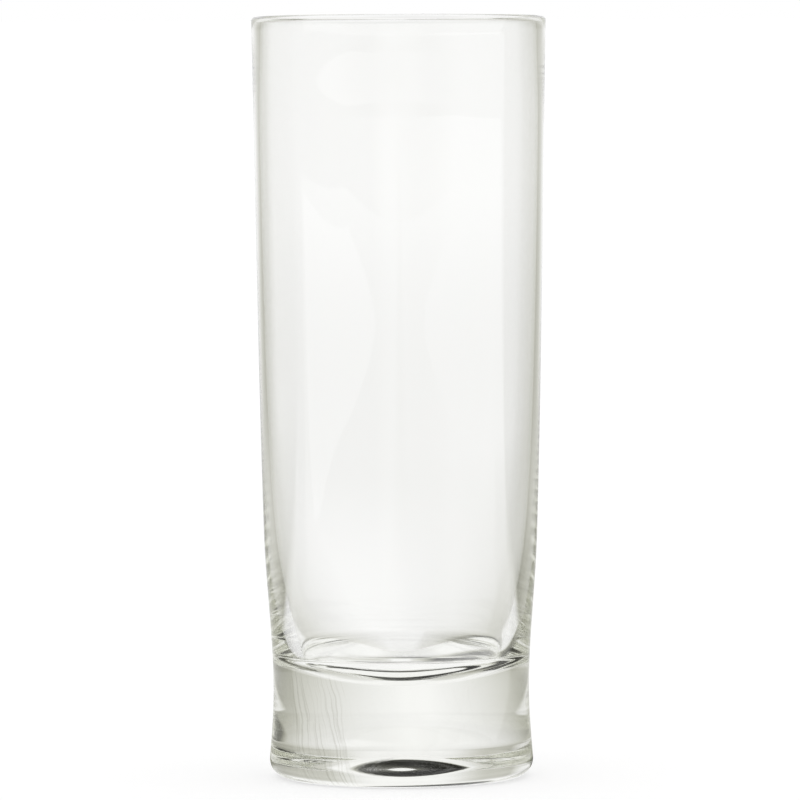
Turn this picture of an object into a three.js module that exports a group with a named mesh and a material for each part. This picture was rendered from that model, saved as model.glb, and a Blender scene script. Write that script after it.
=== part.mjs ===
// A tall water glass with a heavy base, moulded in one piece from clear glass.
// Millimetres, +Z up. The origin is the centre of the ring that the glass stands on.
import * as THREE from 'three';
import { mergeVertices } from 'three/addons/utils/BufferGeometryUtils.js';

// Outside: a rounded foot, a slight waist round the base, and a wall that opens to the rim.
const HEIGHT = 150;
const RIM_DIAMETER = 58;
const RIM_TAPER_DEG = 1.2;
const HIP_DIAMETER = 54;
const HIP_HEIGHT = 48.5;
const HIP_TAPER_DEG = 1.7;
const WAIST_DIAMETER = 50.5;
const WAIST_HEIGHT = 17.5;
const FOOT_DIAMETER = 52;
const FOOT_TAPER_DEG = 4.6;
const FOOT_ROUNDING = 3.6;

// Underside: a flat standing ring inside the foot's rounding, round a wide dome.
const STANDING_RING_WIDTH = 1.4;
const DOME_DEPTH = 4;

// Inside: a thin wall that is thicker at the heel, where it turns into the floor, and at the rim.
const BODY_WALL = 1.15;
const RIM_WALL = 1.8;
const RIM_REACH = 12;
const HEEL_WALL = 4.9;
const HEEL_REACH = 19;
const BASE_THICKNESS = 18.8;
const FLOOR_DIAMETER = 24;
const FLOOR_CURVE_RADIUS = 40;
const HEEL_ABOVE_FLOOR = 6;
const HEEL_FULLNESS = 0.75;

// Facets: sectors round the axis, and steps along each stretch of the outline.
const SECTORS = 72;
const DOME_STEPS = 8;
const FOOT_STEPS = 6;
const WAIST_STEPS = 4;
const HIP_STEPS = 6;
const BODY_STEPS = 5;
const RIM_STEPS = 6;
const CAVITY_STEPS = 14;
const HEEL_STEPS = 9;
const FLOOR_STEPS = 4;

const { degToRad, lerp } = THREE.MathUtils;
const QUARTER_TURN = Math.PI / 2;
const slope = (degrees) => Math.tan(degToRad(degrees));

// The foot's rounding runs on past its widest point, until it leans in as the wall above it does.
const footCentre = FOOT_DIAMETER / 2 - FOOT_ROUNDING;
const footLean = degToRad(FOOT_TAPER_DEG);
const footTop = {
  r: footCentre + FOOT_ROUNDING * Math.cos(footLean),
  z: FOOT_ROUNDING + FOOT_ROUNDING * Math.sin(footLean),
};

// Stations of the outer wall, upwards: height, radius, and how fast the radius grows with height.
const rimRounding = RIM_WALL / 2;
const rimHeight = HEIGHT - rimRounding;
const stations = [
  { z: footTop.z, r: footTop.r, growth: -slope(FOOT_TAPER_DEG) },
  { z: WAIST_HEIGHT, r: WAIST_DIAMETER / 2, growth: 0 },
  { z: HIP_HEIGHT, r: HIP_DIAMETER / 2, growth: slope(HIP_TAPER_DEG) },
  { z: rimHeight, r: RIM_DIAMETER / 2, growth: slope(RIM_TAPER_DEG) },
];

// Radius of the outer wall at a height: a cubic between the stations below and above it.
function outerRadius(z) {
  const above = Math.max(1, stations.findIndex((station) => z <= station.z));
  const low = stations[above - 1];
  const high = stations[above];
  const span = high.z - low.z;
  const t = (z - low.z) / span;
  const blend = t * t * (3 - 2 * t);
  const leaving = low.growth * span * t * (1 - t) ** 2;
  const arriving = high.growth * span * t * t * (t - 1);
  return lerp(low.r, high.r, blend) + leaving + arriving;
}

// Radius of the inner wall at a height: the heel's extra thickness dies away upwards, the rim's downwards.
const heelHeight = BASE_THICKNESS + HEEL_ABOVE_FLOOR;

function innerRadius(z) {
  const heelExtra = (HEEL_WALL - BODY_WALL) * Math.exp((heelHeight - z) / HEEL_REACH);
  const rimExtra = (RIM_WALL - BODY_WALL) * Math.exp(-(((rimHeight - z) / RIM_REACH) ** 2));
  return outerRadius(z) - BODY_WALL - heelExtra - rimExtra;
}

// The dished floor is an arc about a point on the axis, up to its edge.
const floorCentre = BASE_THICKNESS + FLOOR_CURVE_RADIUS;
const floorAngle = Math.asin(FLOOR_DIAMETER / 2 / FLOOR_CURVE_RADIUS);
const floorSlope = Math.tan(floorAngle);
const floorEdge = new THREE.Vector2(
  FLOOR_DIAMETER / 2,
  floorCentre - FLOOR_CURVE_RADIUS * Math.cos(floorAngle),
);

// The heel leaves the wall and meets the floor along their own slopes. Its handles reach towards the
// corner where these two slopes would meet, and the fullness says how far.
const NUDGE = 0.01;
const heelEdge = new THREE.Vector2(innerRadius(heelHeight), heelHeight);
const wallSlope = (innerRadius(heelHeight + NUDGE) - heelEdge.x) / NUDGE;
const drop = heelEdge.y - floorEdge.y + floorSlope * floorEdge.x;
const cornerRadius = (heelEdge.x - wallSlope * drop) / (1 - wallSlope * floorSlope);
const corner = new THREE.Vector2(cornerRadius, floorEdge.y + floorSlope * (cornerRadius - floorEdge.x));
const heel = new THREE.CubicBezierCurve(
  heelEdge,
  heelEdge.clone().lerp(corner, HEEL_FULLNESS),
  floorEdge.clone().lerp(corner, HEEL_FULLNESS),
  floorEdge,
);

// Points of the dome under the base, from its top to the standing ring, level at both ends.
const domeRadius = footCentre - STANDING_RING_WIDTH;

function dome(steps) {
  return Array.from({ length: steps + 1 }, (_, i) => {
    const share = i / steps;
    const height = DOME_DEPTH * (1 + Math.cos(share * Math.PI)) / 2;
    return new THREE.Vector2(domeRadius * share, height);
  });
}

// Points along an arc of the outline, after its first one.
function arc(r, z, radius, from, to, steps) {
  return Array.from({ length: steps }, (_, i) => {
    const angle = lerp(from, to, (i + 1) / steps);
    return new THREE.Vector2(r + radius * Math.cos(angle), z + radius * Math.sin(angle));
  });
}

// Points along a stretch of wall between two heights, after its first one.
function wall(radiusAt, from, to, steps) {
  return Array.from({ length: steps }, (_, i) => {
    const z = lerp(from, to, (i + 1) / steps);
    return new THREE.Vector2(radiusAt(z), z);
  });
}

// Half the section of the glass: out along the underside, up the outside, over the rim and down inside.
const section = [
  ...dome(DOME_STEPS),
  new THREE.Vector2(footCentre, 0),
  ...arc(footCentre, FOOT_ROUNDING, FOOT_ROUNDING, -QUARTER_TURN, footLean, FOOT_STEPS),
  ...wall(outerRadius, footTop.z, WAIST_HEIGHT, WAIST_STEPS),
  ...wall(outerRadius, WAIST_HEIGHT, HIP_HEIGHT, HIP_STEPS),
  ...wall(outerRadius, HIP_HEIGHT, rimHeight, BODY_STEPS),
  ...arc(RIM_DIAMETER / 2 - rimRounding, rimHeight, rimRounding, 0, Math.PI, RIM_STEPS),
  ...wall(innerRadius, rimHeight, heelHeight, CAVITY_STEPS),
  ...heel.getPoints(HEEL_STEPS).slice(1),
  ...arc(0, floorCentre, FLOOR_CURVE_RADIUS, floorAngle - QUARTER_TURN, -QUARTER_TURN, FLOOR_STEPS),
];
section.at(-1).x = 0;

// Turn the section about the axis, and close the seam and the two poles.
function turnGlass() {
  const turned = new THREE.LatheGeometry(section, SECTORS);
  turned.rotateX(QUARTER_TURN);
  turned.deleteAttribute('normal');
  turned.deleteAttribute('uv');
  const closed = mergeVertices(turned);
  const corners = closed.getIndex().array;
  const faces = [];
  for (let i = 0; i < corners.length; i += 3) {
    const face = [corners[i], corners[i + 1], corners[i + 2]];
    if (new Set(face).size === 3) faces.push(...face);
  }
  closed.setIndex(faces);
  closed.computeVertexNormals();
  return closed;
}

const clearGlass = new THREE.MeshStandardMaterial({
  color: 0xeef3ec,
  roughness: 0.03,
  metalness: 0,
  transparent: true,
  opacity: 0.35,
});

const tumbler = new THREE.Mesh(turnGlass(), clearGlass);
tumbler.name = 'tumbler';

const waterGlass = new THREE.Group();
waterGlass.name = 'water_glass';
waterGlass.add(tumbler);

export default waterGlass;
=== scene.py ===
import math

import bpy
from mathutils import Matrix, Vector
from mathutils.geometry import interpolate_bezier


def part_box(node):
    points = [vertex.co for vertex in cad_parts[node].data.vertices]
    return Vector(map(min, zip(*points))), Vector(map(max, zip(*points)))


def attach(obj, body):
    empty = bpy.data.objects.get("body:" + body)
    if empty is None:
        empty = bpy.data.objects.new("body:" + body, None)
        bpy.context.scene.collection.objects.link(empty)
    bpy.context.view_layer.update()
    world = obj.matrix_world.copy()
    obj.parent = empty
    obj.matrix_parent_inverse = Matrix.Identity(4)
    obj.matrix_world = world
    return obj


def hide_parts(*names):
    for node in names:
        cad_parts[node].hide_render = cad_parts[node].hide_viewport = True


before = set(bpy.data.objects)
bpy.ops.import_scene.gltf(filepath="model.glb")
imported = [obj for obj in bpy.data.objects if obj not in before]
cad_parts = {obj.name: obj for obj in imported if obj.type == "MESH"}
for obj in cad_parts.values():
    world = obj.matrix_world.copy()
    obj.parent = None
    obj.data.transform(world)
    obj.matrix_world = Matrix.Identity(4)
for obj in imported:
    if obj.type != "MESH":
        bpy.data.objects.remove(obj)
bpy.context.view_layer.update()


# Tumbler. The whole glass is one moulded piece of clear soda-lime glass: a thick base with a rounded
# foot and a slight waist, a wall that thins as it rises, and a rim rounded by fire polishing.
# It stands loose on the flat ring of its underside.
MM = 0.001
low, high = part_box("tumbler")
HEIGHT = high[2] - low[2]
RIM_RADIUS = (high[0] - low[0]) / 2
RIM_TAPER = math.radians(1.2)
HIP_RADIUS = 27.0 * MM
HIP_HEIGHT = 48.5 * MM
HIP_TAPER = math.radians(1.7)
WAIST_RADIUS = 25.25 * MM
WAIST_HEIGHT = 17.5 * MM
FOOT_RADIUS = 26.0 * MM
FOOT_LEAN = math.radians(4.6)
FOOT_ROUNDING = 3.6 * MM
STANDING_RING_WIDTH = 1.4 * MM
DOME_DEPTH = 4.0 * MM
BODY_WALL = 1.15 * MM
RIM_WALL = 1.8 * MM
RIM_REACH = 12.0 * MM
HEEL_WALL = 4.9 * MM
HEEL_REACH = 19.0 * MM
BASE_THICKNESS = 18.8 * MM
FLOOR_RADIUS = 12.0 * MM
FLOOR_CURVE_RADIUS = 40.0 * MM
HEEL_ABOVE_FLOOR = 6.0 * MM
HEEL_FULLNESS = 0.75
SECTORS = 288
DOME_STEPS = 40
FOOT_STEPS = 20
WAIST_STEPS = 12
HIP_STEPS = 30
BODY_STEPS = 36
RIM_STEPS = 14
CAVITY_STEPS = 80
HEEL_STEPS = 48
FLOOR_STEPS = 12

foot_centre = FOOT_RADIUS - FOOT_ROUNDING
foot_top = FOOT_ROUNDING * (1 + math.sin(FOOT_LEAN))
rim_rounding = RIM_WALL / 2
rim_height = HEIGHT - rim_rounding
heel_height = BASE_THICKNESS + HEEL_ABOVE_FLOOR
stations = [
    (foot_top, foot_centre + FOOT_ROUNDING * math.cos(FOOT_LEAN), -math.tan(FOOT_LEAN)),
    (WAIST_HEIGHT, WAIST_RADIUS, 0.0),
    (HIP_HEIGHT, HIP_RADIUS, math.tan(HIP_TAPER)),
    (rim_height, RIM_RADIUS, math.tan(RIM_TAPER)),
]


def outer_radius(z):
    """Radius of the outer wall at a height: a cubic between the stations below and above it."""
    last = len(stations) - 1
    above = next((i for i in range(1, last) if z <= stations[i][0]), last)
    low_z, low_r, low_growth = stations[above - 1]
    high_z, high_r, high_growth = stations[above]
    span = high_z - low_z
    t = (z - low_z) / span
    blend = t * t * (3 - 2 * t)
    leaving = low_growth * span * t * (1 - t) ** 2
    arriving = high_growth * span * t * t * (t - 1)
    return low_r + (high_r - low_r) * blend + leaving + arriving


def inner_radius(z):
    """Radius of the inner wall at a height.

    The heel's extra thickness dies away upwards, and the rim's downwards.
    """
    heel_extra = (HEEL_WALL - BODY_WALL) * math.exp((heel_height - z) / HEEL_REACH)
    rim_extra = (RIM_WALL - BODY_WALL) * math.exp(-((rim_height - z) / RIM_REACH) ** 2)
    return outer_radius(z) - BODY_WALL - heel_extra - rim_extra


def arc(r, z, radius, start, end, steps):
    """Points along an arc of the section, after its first one."""
    angles = [start + (end - start) * (i + 1) / steps for i in range(steps)]
    return [(r + radius * math.cos(a), z + radius * math.sin(a)) for a in angles]


def wall(radius_at, start, end, steps):
    """Points along a stretch of wall between two heights, after its first one."""
    heights = [start + (end - start) * (i + 1) / steps for i in range(steps)]
    return [(radius_at(z), z) for z in heights]


# The heel leaves the wall and meets the dished floor along their own slopes. Its handles reach towards
# the corner where these two slopes would meet, and the fullness says how far.
quarter = math.pi / 2
nudge = 0.01 * MM
heel_edge = inner_radius(heel_height)
wall_slope = (inner_radius(heel_height + nudge) - heel_edge) / nudge
floor_centre = BASE_THICKNESS + FLOOR_CURVE_RADIUS
floor_angle = math.asin(FLOOR_RADIUS / FLOOR_CURVE_RADIUS)
floor_slope = math.tan(floor_angle)
floor_edge = floor_centre - FLOOR_CURVE_RADIUS * math.cos(floor_angle)
floor_drop = heel_height - floor_edge + floor_slope * FLOOR_RADIUS
corner_r = (heel_edge - wall_slope * floor_drop) / (1 - wall_slope * floor_slope)
corner_z = floor_edge + floor_slope * (corner_r - FLOOR_RADIUS)


def heel(steps):
    """Points of the heel, after its first one, from the wall to the floor."""
    top = Vector((heel_edge, heel_height))
    bottom = Vector((FLOOR_RADIUS, floor_edge))
    corner = Vector((corner_r, corner_z))
    handles = top.lerp(corner, HEEL_FULLNESS), bottom.lerp(corner, HEEL_FULLNESS)
    return [tuple(p) for p in interpolate_bezier(top, *handles, bottom, steps + 1)][1:]


def dome(steps):
    """Points of the dome under the base, from its top to the standing ring, level at both ends."""
    radius = foot_centre - STANDING_RING_WIDTH
    shares = [i / steps for i in range(steps + 1)]
    return [(radius * share, DOME_DEPTH * (1 + math.cos(math.pi * share)) / 2) for share in shares]


# Half the section: out along the underside, up the outside, over the rim, and down inside to the axis.
outside = dome(DOME_STEPS)
outside += [(foot_centre, 0.0)]
outside += arc(foot_centre, FOOT_ROUNDING, FOOT_ROUNDING, -quarter, FOOT_LEAN, FOOT_STEPS)
outside += wall(outer_radius, foot_top, WAIST_HEIGHT, WAIST_STEPS)
outside += wall(outer_radius, WAIST_HEIGHT, HIP_HEIGHT, HIP_STEPS)
outside += wall(outer_radius, HIP_HEIGHT, rim_height, BODY_STEPS)
outside += arc(RIM_RADIUS - rim_rounding, rim_height, rim_rounding, 0, math.pi, RIM_STEPS)
inside = wall(inner_radius, rim_height, heel_height, CAVITY_STEPS)
inside += heel(HEEL_STEPS)
inside += arc(0, floor_centre, FLOOR_CURVE_RADIUS, floor_angle - quarter, -quarter, FLOOR_STEPS)
inside[-1] = (0.0, BASE_THICKNESS)
section = outside + inside


def add(tree, kind, inputs=None, **settings):
    """Adds a node, sets its properties, and sets or links its inputs."""
    made = tree.nodes.new(kind)
    for name, value in settings.items():
        setattr(made, name, value)
    for name, value in (inputs or {}).items():
        if isinstance(value, bpy.types.NodeSocket):
            tree.links.new(value, made.inputs[name])
        else:
            made.inputs[name].default_value = value
    return made


def calc(tree, operation, *values):
    """A Math node's result for up to three values or sockets."""
    made = add(tree, "ShaderNodeMath", dict(enumerate(values)), operation=operation)
    return made.outputs[0]


def turned_glass_tree():
    """Turns a section about the axis into a closed solid of glass."""
    MERGE_DISTANCE = 0.0001 * MM
    tree = bpy.data.node_groups.new("turned_glass", "GeometryNodeTree")
    face = tree.interface
    face.new_socket("Section", in_out="INPUT", socket_type="NodeSocketGeometry")
    face.new_socket("Sectors", in_out="INPUT", socket_type="NodeSocketInt")
    face.new_socket("Section Points", in_out="INPUT", socket_type="NodeSocketInt")
    face.new_socket("Glass", in_out="INPUT", socket_type="NodeSocketMaterial")
    face.new_socket("Geometry", in_out="OUTPUT", socket_type="NodeSocketGeometry")
    given = tree.nodes.new("NodeGroupInput").outputs

    # A sheet with one column for each sector and one row for each point of the section.
    columns = calc(tree, "ADD", given["Sectors"], 1)
    sheet = add(tree, "GeometryNodeMeshGrid",
                {"Size X": 1, "Size Y": 1, "Vertices X": columns, "Vertices Y": given["Section Points"]})
    place = add(tree, "ShaderNodeSeparateXYZ", {"Vector": sheet.outputs["UV Map"]}).outputs
    last_row = calc(tree, "SUBTRACT", given["Section Points"], 1)
    row = calc(tree, "ROUND", calc(tree, "MULTIPLY", place["Y"], last_row))
    turn = calc(tree, "MULTIPLY", place["X"], 2 * math.pi)
    point = add(tree, "GeometryNodeSampleIndex",
                {"Geometry": given["Section"], "Value": add(tree, "GeometryNodeInputPosition").outputs[0],
                 "Index": row}, data_type="FLOAT_VECTOR", domain="POINT")
    spot = add(tree, "ShaderNodeSeparateXYZ", {"Vector": point.outputs[0]}).outputs
    r, z = spot["X"], spot["Z"]

    # Each column is turned to its place round the axis, the first and the last one to the front.
    x = calc(tree, "MULTIPLY", r, calc(tree, "SINE", turn))
    y = calc(tree, "MULTIPLY", r, calc(tree, "MULTIPLY", calc(tree, "COSINE", turn), -1))
    where = add(tree, "ShaderNodeCombineXYZ", {"X": x, "Y": y, "Z": z}).outputs[0]
    turned = add(tree, "GeometryNodeSetPosition", {"Geometry": sheet.outputs["Mesh"], "Position": where})
    closed = add(tree, "GeometryNodeMergeByDistance",
                 {"Geometry": turned.outputs[0], "Distance": MERGE_DISTANCE})
    smooth = add(tree, "GeometryNodeSetShadeSmooth", {"Geometry": closed.outputs[0]})
    solid = add(tree, "GeometryNodeRealizeInstances", {"Geometry": smooth.outputs[0]})
    dressed = add(tree, "GeometryNodeSetMaterial",
                  {"Geometry": solid.outputs[0], "Material": given["Glass"]})
    add(tree, "NodeGroupOutput", {"Geometry": dressed.outputs[0]})
    return tree


def fade(tree, value, start, end, first, last, kind="SMOOTHSTEP"):
    """A step from a first level to a last one as the value goes from start to end."""
    return add(tree, "ShaderNodeMapRange",
               {"Value": value, "From Min": start, "From Max": end, "To Min": first, "To Max": last},
               interpolation_type=kind).outputs[0]


def mix(tree, share, first, last):
    """The first value where the share is 0, and the last one where it is 1."""
    return add(tree, "ShaderNodeMix", {0: share, 2: first, 3: last}).outputs[0]


def flow_marks(tree, place):
    """Cords left as the hot glass ran into the mould: fine, wavy, upright lines round the base.

    They are strongest at the front left, and fade out up the wall.
    """
    CORDS_PER_RADIAN = 42.0
    CORDS_PER_METRE = 40.0
    LEAN_PER_METRE = 9.0
    SWAY_PER_METRE = 190.0
    SWAY = 3.2
    STRONG_AT = math.radians(-34)
    STRONG_CORE = math.radians(9)
    STRONG_EDGE = math.radians(21)
    FAINT = 0.12
    SWAY_DETAIL = 1.0
    CORD_DETAIL = 2.0
    NOISE_MIDDLE = 0.5
    spot = add(tree, "ShaderNodeSeparateXYZ", {"Vector": place}).outputs
    turn = calc(tree, "ARCTAN2", spot["X"], calc(tree, "MULTIPLY", spot["Y"], -1))
    leaning = calc(tree, "ADD", turn, calc(tree, "MULTIPLY", spot["Z"], LEAN_PER_METRE))
    swaying = add(tree, "ShaderNodeTexNoise",
                  {"Vector": place, "Scale": SWAY_PER_METRE, "Detail": SWAY_DETAIL})
    sway = calc(tree, "MULTIPLY", swaying.outputs["Fac"], SWAY)
    across = calc(tree, "ADD", calc(tree, "MULTIPLY", leaning, CORDS_PER_RADIAN), sway)
    along = calc(tree, "MULTIPLY", spot["Z"], CORDS_PER_METRE)
    lines = add(tree, "ShaderNodeCombineXYZ", {"X": across, "Y": along}).outputs[0]
    cording = add(tree, "ShaderNodeTexNoise", {"Vector": lines, "Scale": 1.0, "Detail": CORD_DETAIL})
    cords = calc(tree, "SUBTRACT", cording.outputs["Fac"], NOISE_MIDDLE)
    off = calc(tree, "ABSOLUTE", calc(tree, "SUBTRACT", leaning, STRONG_AT))
    strong = fade(tree, off, STRONG_CORE, STRONG_EDGE, 1.0, FAINT)
    low = fade(tree, spot["Z"], BASE_THICKNESS, heel_height, 1.0, FAINT)
    return calc(tree, "MULTIPLY", cords, calc(tree, "MULTIPLY", strong, low))


def clear_glass():
    """Clear polished glass with a faint grey-green body colour, and flow marks in the base."""
    IOR = 1.52
    BODY_COLOUR = (0.80, 0.81, 0.72, 1)
    BODY_DENSITY = 6.0
    CORD_DEPTH = 0.02 * MM
    CORD_TINT = 0.13
    CLEAR = (0.997, 0.998, 0.993, 1)
    DENSE = (0.74, 0.74, 0.71, 1)
    material = bpy.data.materials.new("clear_glass")
    material.use_nodes = True
    tree = material.node_tree
    glass = tree.nodes["Principled BSDF"]
    place = add(tree, "ShaderNodeTexCoord").outputs["Object"]
    marks = flow_marks(tree, place)
    dense = fade(tree, marks, 0.0, CORD_TINT, 0.0, 1.0)
    tint = add(tree, "ShaderNodeMix", {0: dense, 6: CLEAR, 7: DENSE}, data_type="RGBA").outputs[2]
    relief = add(tree, "ShaderNodeBump", {"Height": marks, "Strength": 1.0, "Distance": CORD_DEPTH})
    tree.links.new(tint, glass.inputs["Base Color"])
    tree.links.new(relief.outputs[0], glass.inputs["Normal"])
    glass.inputs["Roughness"].default_value = 0.0
    glass.inputs["IOR"].default_value = IOR
    glass.inputs["Transmission Weight"].default_value = 1.0
    body = add(tree, "ShaderNodeVolumeAbsorption", {"Color": BODY_COLOUR, "Density": BODY_DENSITY})
    tree.links.new(body.outputs[0], tree.nodes["Material Output"].inputs["Volume"])
    return material


outline = bpy.data.meshes.new("glass_section")
outline.from_pydata([(r, 0, z) for r, z in section], [], [])
blank = bpy.data.objects.new("glass_section", outline)
bpy.context.scene.collection.objects.link(blank)
turning = blank.modifiers.new("turned_glass", "NODES")
turning.node_group = turned_glass_tree()
sizes = {
    "Sectors": SECTORS,
    "Section Points": len(section),
    "Glass": clear_glass(),
}
for socket in turning.node_group.interface.items_tree:
    if socket.name in sizes:
        turning[socket.identifier] = sizes[socket.name]
shaped = blank.evaluated_get(bpy.context.evaluated_depsgraph_get())
tumbler = bpy.data.objects.new("water_glass_tumbler", bpy.data.meshes.new_from_object(shaped))
bpy.context.scene.collection.objects.link(tumbler)
bpy.data.objects.remove(blank)
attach(tumbler, "root")
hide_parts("tumbler")


# Floor. A wide sheet of matt white paper lies under the glass and runs on behind it. Seen through the
# glass it shows painted light: white straight behind and pale in front, falling off to painted grey at
# both sides, as paper lit from the middle would. Nothing holds it: it lies flat on the table.
FLOOR_REACH = 8.0
FLOOR_GAP = 0.1 * MM
paper = bpy.data.meshes.new("studio_floor")
paper.from_pydata([(x, y, -FLOOR_GAP) for x, y in (
    (-FLOOR_REACH, -FLOOR_REACH), (FLOOR_REACH, -FLOOR_REACH),
    (FLOOR_REACH, FLOOR_REACH), (-FLOOR_REACH, FLOOR_REACH))], [], [(0, 1, 2, 3)])
studio_floor = bpy.data.objects.new("studio_floor", paper)
bpy.context.scene.collection.objects.link(studio_floor)

# The paper's own colour, black for glass rays, and the tones of the painted white and darkest painted
# grey.
PAPER = (0.45, 0.45, 0.45, 1)
BLACK = (0.0, 0.0, 0.0, 1)
WHITE = (1.0, 1.0, 1.0, 1)
WARM = (1.0, 1.0, 0.86, 1)
WARM_LEVEL = 0.3

# Near the glass a painted pool of light spreads like a fan from a point under the back of the foot,
# greying to the sides. The fan's white middle points back and a little to the left.
FAN_ORIGIN = 19.0 * MM
FAN_AIM = math.radians(-4)
FAN_WHITE = math.radians(3)
FAN_GREY = math.radians(72)
FAN_SIDE_LEVEL = 0.26

# Far away the paper's painted light, like the room's wall behind, is white straight behind, with a first
# step to grey on both sides, and a second one.
FAR_AIM = math.radians(-2)
FAR_WHITE = math.radians(8)
FAR_STEP = math.radians(30)
FAR_STEP_LEVEL = 0.58
FAR_GREY = math.radians(77)
FAR_SIDE_LEVEL = 0.5
NEAR_REACH = 0.25
FAR_REACH = 0.70

# A painted shadow of the foot: centre and half lengths of a small oval, and where its soft edge starts
# and ends.
SHADOW_CENTRE = (26.0 * MM, 24.0 * MM, 0.0)
SHADOW_HALF = (20.0 * MM, 18.0 * MM, 1.0)
SHADOW_CORE = 0.75
SHADOW_EDGE = 1.08
SHADOW_LEVEL = 0.03

# On the viewer's side the paper's painted light and the room are pale again, and far away this side lies
# round to the left, opposite the aim.
FRONT_AIM = math.radians(58)
FRONT_START = math.radians(85)
FRONT_END = math.radians(120)
FRONT_LEVEL = 0.9


def pale_in_front(tree, turn, level):
    """The level, or the pale front of the room where that is lighter."""
    return calc(tree, "MAXIMUM", level, fade(tree, turn, FRONT_START, FRONT_END, 0.0, FRONT_LEVEL))


def near_painted_light(tree, x, y):
    """How white the painted light on the paper near the glass is, by its direction from the fan's origin.
    """
    turn = calc(tree, "ARCTAN2", x, calc(tree, "SUBTRACT", y, FAN_ORIGIN))
    off_aim = calc(tree, "ABSOLUTE", calc(tree, "SUBTRACT", turn, FAN_AIM))
    grey = fade(tree, off_aim, FAN_WHITE, FAN_GREY, 1.0, FAN_SIDE_LEVEL, "LINEAR")
    return pale_in_front(tree, off_aim, grey)


def far_white(tree, x, y):
    """How white the far paper's painted light and the room's wall behind it are, by their direction from
    the glass.
    """
    bearing = calc(tree, "ARCTAN2", x, y)
    turn = calc(tree, "ABSOLUTE", calc(tree, "SUBTRACT", bearing, FAR_AIM))
    first_step = fade(tree, turn, FAR_WHITE, FAR_STEP, 1.0, FAR_STEP_LEVEL)
    second_step = fade(tree, turn, FAR_STEP, FAR_GREY, 1.0, FAR_SIDE_LEVEL)
    round_front = calc(tree, "ABSOLUTE", calc(tree, "SUBTRACT", bearing, FRONT_AIM))
    return pale_in_front(tree, round_front, calc(tree, "MULTIPLY", first_step, second_step))


def warm_grey(tree, level, through):
    """White, or a warmer tone where glass sees a grey of the room or a painted grey of the paper: the
    darker, the warmer.
    """
    warm = calc(tree, "MULTIPLY", through, fade(tree, level, WARM_LEVEL, 1.0, 1.0, 0.0))
    return add(tree, "ShaderNodeMix", {0: warm, 6: WHITE, 7: WARM}, data_type="RGBA").outputs[2]


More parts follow.
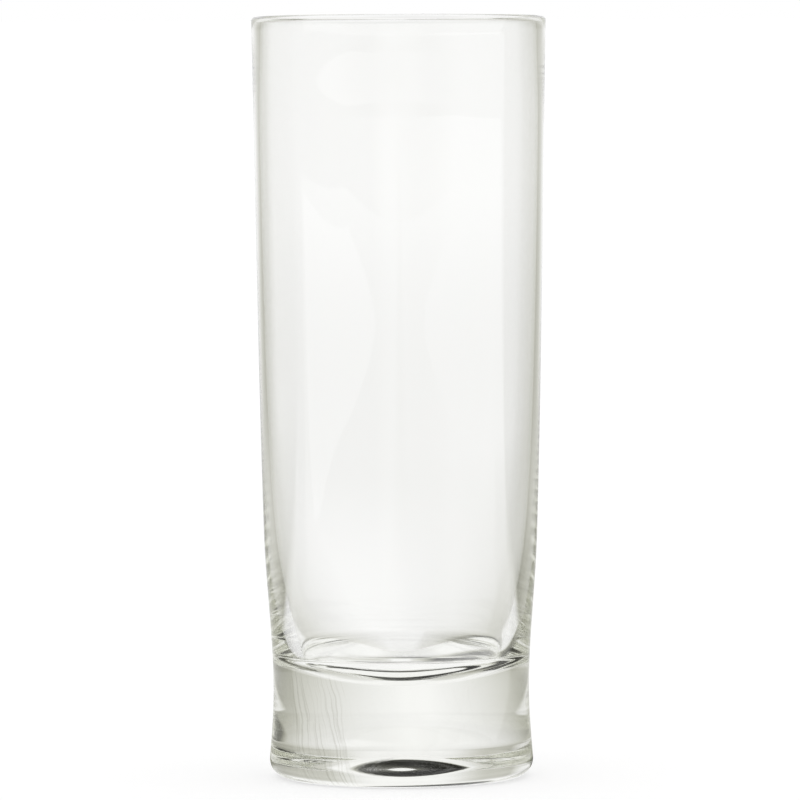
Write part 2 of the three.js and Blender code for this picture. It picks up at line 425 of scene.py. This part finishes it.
def pale_floor():
    """Matt paper. Glass and mirrors see its painted white and greys; the camera sees it white all over.
    """
    material = bpy.data.materials.new("pale_floor")
    material.use_nodes = True
    tree = material.node_tree
    surface = tree.nodes["Principled BSDF"]
    place = add(tree, "ShaderNodeTexCoord").outputs["Object"]
    spot = add(tree, "ShaderNodeSeparateXYZ", {"Vector": place}).outputs
    away = add(tree, "ShaderNodeVectorMath", {0: place}, operation="LENGTH").outputs["Value"]
    far = fade(tree, away, NEAR_REACH, FAR_REACH, 0.0, 1.0)
    sheet = mix(tree, far, near_painted_light(tree, spot["X"], spot["Y"]), far_white(tree, spot["X"], spot["Y"]))

    # Painted shade: a little darker between the glass and the far end.
    DIP = 0.08
    DIP_START = 0.12
    DIP_FULL = 0.60
    DIP_FADE = 1.0
    DIP_END = 3.0
    dip_near = fade(tree, away, DIP_START, DIP_FULL, 0.0, DIP)
    dip = calc(tree, "MULTIPLY", dip_near, fade(tree, away, DIP_FADE, DIP_END, 1.0, 0.0))
    even = calc(tree, "SUBTRACT", sheet, dip)

    # Painted light: white under the foot, where the glass would shade the paper.
    UNDER_CORE = 24.0 * MM
    UNDER_EDGE = 32.0 * MM
    under = fade(tree, away, UNDER_CORE, UNDER_EDGE, 1.0, 0.0)

    # Painted light: white straight behind the foot, in a short wedge.
    WEDGE_CORE = math.radians(4)
    WEDGE_EDGE = math.radians(14)
    WEDGE_FADE = 50.0 * MM
    WEDGE_END = 75.0 * MM
    turn = calc(tree, "ABSOLUTE", calc(tree, "ARCTAN2", spot["X"], spot["Y"]))
    straight = fade(tree, turn, WEDGE_CORE, WEDGE_EDGE, 1.0, 0.0)
    behind = calc(tree, "MULTIPLY", straight, fade(tree, away, WEDGE_FADE, WEDGE_END, 1.0, 0.0))

    # Painted light: nearly white beside the foot, from closer on the left than on the right, and not far
    # back.
    SIDE_LEVEL = 0.95
    LEFT_FULL = -40.0 * MM
    LEFT_START = -34.0 * MM
    RIGHT_START = 44.0 * MM
    RIGHT_FULL = 49.0 * MM
    BACK_FADE = 45.0 * MM
    BACK_END = 80.0 * MM
    left = fade(tree, spot["X"], LEFT_FULL, LEFT_START, SIDE_LEVEL, 0.0)
    right = fade(tree, spot["X"], RIGHT_START, RIGHT_FULL, 0.0, SIDE_LEVEL)
    sides = calc(tree, "MAXIMUM", left, right)
    beside = calc(tree, "MULTIPLY", sides, fade(tree, spot["Y"], BACK_FADE, BACK_END, 1.0, 0.0))
    close = calc(tree, "MAXIMUM", calc(tree, "MAXIMUM", under, behind), beside)

    # A painted shadow of the foot, a small oval behind it on the right.
    moved = add(tree, "ShaderNodeVectorMath", {0: place, 1: SHADOW_CENTRE}, operation="SUBTRACT")
    scaled = add(tree, "ShaderNodeVectorMath", {0: moved.outputs[0], 1: SHADOW_HALF}, operation="DIVIDE")
    off = add(tree, "ShaderNodeVectorMath", {0: scaled.outputs[0]}, operation="LENGTH")
    shadow = fade(tree, off.outputs["Value"], SHADOW_CORE, SHADOW_EDGE, 1.0, 0.0)
    white = mix(tree, shadow, calc(tree, "MAXIMUM", even, close), SHADOW_LEVEL)

    # Glass and mirrors see only the paper's painted light and shade, as its glow. The camera sees it lit
    # by the room, with the glass's shadow, and brought up to white.
    CAMERA_SHARE = 0.64
    MATT = 0.9
    path = add(tree, "ShaderNodeLightPath").outputs
    through = calc(tree, "MAXIMUM", path["Is Glossy Ray"], path["Is Transmission Ray"])
    camera = calc(tree, "MULTIPLY", path["Is Camera Ray"], CAMERA_SHARE)
    glow = calc(tree, "ADD", calc(tree, "MULTIPLY", white, through), camera)
    lit = add(tree, "ShaderNodeMix", {0: through, 6: PAPER, 7: BLACK}, data_type="RGBA").outputs[2]
    tree.links.new(lit, surface.inputs["Base Color"])
    tree.links.new(warm_grey(tree, white, through), surface.inputs["Emission Color"])
    tree.links.new(glow, surface.inputs["Emission Strength"])
    surface.inputs["Roughness"].default_value = MATT
    surface.inputs["Specular IOR Level"].default_value = 0.0
    return material


paper.materials.append(pale_floor())


# Light. A plain white room lights the glass softly from all round. In it, glass sees the wall behind with
# its grey sides, two dark places of the ceiling, and the dark end of the room behind the viewer.
world = bpy.data.worlds.new("studio_room")
bpy.context.scene.world = world
world.use_nodes = True
room = world.node_tree
heading = add(room, "ShaderNodeTexCoord").outputs["Generated"]
ROOM_LIGHT = 0.9

# The wall behind gives way to white between two elevations.
WALL_TOP_START = math.sin(math.radians(16))
WALL_TOP_END = math.sin(math.radians(30))

# Dark places, in degrees: behind on the left, overhead, and behind the viewer.
DARK_PLACES = [
    {"azimuth": 201, "elevation": 55, "core": 22, "edge": 28, "level": 0.01},
    {"azimuth": 180, "elevation": 80, "core": 10, "edge": 29, "level": 0.01},
    {"azimuth": -18, "elevation": 36, "core": 18, "edge": 48, "level": 0.02},
]


def dark_place(azimuth, elevation, core, edge):
    """1 in the core of a round place in the room, 0 past its edge; angles in degrees, 0 at the viewer."""
    a, e = math.radians(azimuth), math.radians(elevation)
    axis = (math.sin(a) * math.cos(e), -math.cos(a) * math.cos(e), math.sin(e))
    facing = add(room, "ShaderNodeVectorMath", {0: heading, 1: axis}, operation="DOT_PRODUCT")
    rim = math.cos(math.radians(edge)), math.cos(math.radians(core))
    return fade(room, facing.outputs["Value"], *rim, 0.0, 1.0)


toward = add(room, "ShaderNodeSeparateXYZ", {"Vector": heading}).outputs
above_wall = fade(room, toward["Z"], WALL_TOP_START, WALL_TOP_END, 0.0, 1.0)
level = mix(room, above_wall, far_white(room, toward["X"], toward["Y"]), 1.0)
for spot in DARK_PLACES:
    dark = dark_place(spot["azimuth"], spot["elevation"], spot["core"], spot["edge"])
    level = mix(room, dark, level, spot["level"])

# Glass and mirrors see the room's own levels, the camera sees plain white, and all else is lit evenly.
path = add(room, "ShaderNodeLightPath").outputs
through = calc(room, "MAXIMUM", path["Is Glossy Ray"], path["Is Transmission Ray"])
strength = mix(room, path["Is Camera Ray"], mix(room, through, ROOM_LIGHT, level), 1.0)
room.links.new(strength, room.nodes["Background"].inputs["Strength"])
room.links.new(warm_grey(room, level, through), room.nodes["Background"].inputs["Color"])


# Camera: a long lens a little above the rim, at the photograph's viewing angle.
VIEW_DISTANCE = 1.707
VIEW_HEIGHT = 181.0 * MM
AIM_HEIGHT = 74.4 * MM
FRAME_WIDTH = 157.76 * MM
VIEW_ROLL = math.radians(-0.25)
lens = bpy.data.cameras.new("viewer")
viewer = bpy.data.objects.new("viewer", lens)
bpy.context.scene.collection.objects.link(viewer)
viewer.location = (0, -VIEW_DISTANCE, VIEW_HEIGHT)
sight = Vector((0, 0, AIM_HEIGHT)) - viewer.location
viewer.rotation_euler = sight.to_track_quat("-Z", "Y").to_euler()
viewer.rotation_euler.rotate_axis("Z", VIEW_ROLL)
lens.sensor_width = 36
lens.lens = lens.sensor_width * sight.length / FRAME_WIDTH
bpy.context.scene.camera = viewer
bpy.context.scene.view_settings.view_transform = "Standard"

# Light that total reflection traps in the wall and the foot needs many bounces to get out again.
BOUNCES = 128
GLASS_BOUNCES = 120
bpy.context.scene.cycles.max_bounces = BOUNCES
bpy.context.scene.cycles.glossy_bounces = GLASS_BOUNCES
bpy.context.scene.cycles.transmission_bounces = GLASS_BOUNCES
